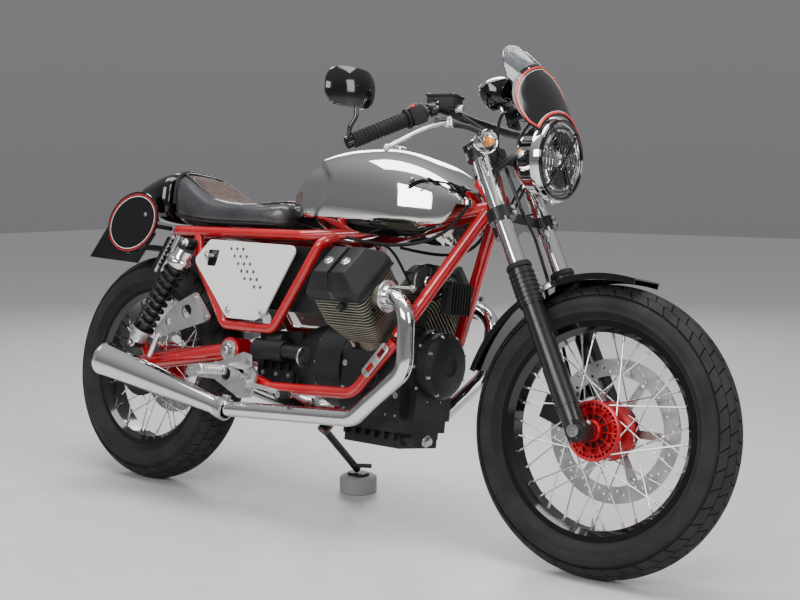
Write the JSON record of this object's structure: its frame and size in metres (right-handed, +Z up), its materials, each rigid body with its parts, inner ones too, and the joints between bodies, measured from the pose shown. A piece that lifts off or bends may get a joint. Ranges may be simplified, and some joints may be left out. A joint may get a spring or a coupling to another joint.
{
  "type": "cafe racer motorcycle",
  "caption": "Cafe racer motorcycle with a transverse V engine, wire wheels, low handlebar, fly screen and humped single seat, parked leaning on its side stand.",
  "frame": {"origin": "on the floor, under the middle of the machine's box as it stands on its side stand", "axes": "+X forward, +Y to the rider's left, +Z up; the machine leans about +X towards +Y"},
  "size_m": [2.0874, 0.8824, 1.169],
  "materials": {
    "red_paint": "gloss",
    "black_paint": "satin",
    "black_gloss": "gloss",
    "black_plastic": "matte",
    "chrome": "mirror polish",
    "steel": "satin",
    "alloy": "machined",
    "cast_alloy": "fine cast, olive grey",
    "engine_black": "satin, fine texture",
    "tyre_rubber": "moulded",
    "rubber": "ribbed",
    "seat_leather": "suede top, smooth sides",
    "white_panel": "gloss",
    "lamp": "clear",
    "puck": "matte"
  },
  "bodies": {
    "root": {"frame": "red_paint", "cradle_rails": "red_paint", "crankcase": "engine_black", "sump": "engine_black", "gearbox": "engine_black", "cylinders": "cast_alloy", "rocker_covers": "engine_black", "throttle_bodies": "alloy", "starter_motor": "engine_black", "horn": "black_paint", "regulator": "engine_black", "airbox": "black_plastic", "fuel_tank": "chrome", "filler_cap": "chrome", "seat": "seat_leather", "tail_cowl": "black_gloss", "number_plates": "black_gloss", "licence_plate_holder": "black_plastic", "side_panels": "white_panel", "exhaust_headers": "chrome", "silencers": "chrome", "silencer_brackets": "alloy", "rearsets": "alloy", "swingarm": "red_paint", "final_drive": "engine_black", "shocks": "black_paint", "rear_mudguard": "black_plastic", "rear_axle": "steel", "rear_caliper": "black_paint", "stand_puck": "puck"},
    "side_stand": {"side_stand": "black_paint"},
    "rear_wheel": {"rear_tyre": "tyre_rubber", "rear_rim": "black_gloss", "rear_hub": "red_paint", "rear_disc": "steel", "rear_spokes": "steel"},
    "fork": {"fork_yokes": "black_paint", "fork_tubes": "chrome", "fork_sliders": "black_paint", "front_axle": "steel", "front_mudguard": "black_gloss", "front_caliper": "black_paint", "handlebar": "alloy", "hand_controls": "rubber", "mirrors": "black_gloss", "headlamp": "chrome", "fly_screen": "black_gloss", "gauges": "chrome", "indicators": "lamp", "brake_hose": "rubber"},
    "front_wheel": {"front_tyre": "tyre_rubber", "front_rim": "black_gloss", "front_hub": "red_paint", "front_disc": "steel", "front_spokes": "steel"}
  },
  "joints": [
    {"name": "steering", "type": "hinge", "parent": "root", "child": "fork", "pos_m": [0.38964, -0.03052, 0.80926], "axis": [-0.4772, 0.142, 0.8673], "range_deg": [-32, 32]},
    {"name": "front_wheel_spin", "type": "hinge", "parent": "fork", "child": "front_wheel", "pos_m": [0.72515, -0.11141, 0.31527], "axis": [0, 0.9869, -0.1616], "continuous": true},
    {"name": "rear_wheel_spin", "type": "hinge", "parent": "root", "child": "rear_wheel", "pos_m": [-0.72385, -0.1112, 0.31655], "axis": [0, 0.9869, -0.1616], "continuous": true},
    {"name": "side_stand_fold", "type": "hinge", "parent": "root", "child": "side_stand", "pos_m": [-0.13935, -0.04412, 0.20636], "axis": [0.0935, 0.7646, 0.6377], "range_deg": [0, 100]}
  ]
}
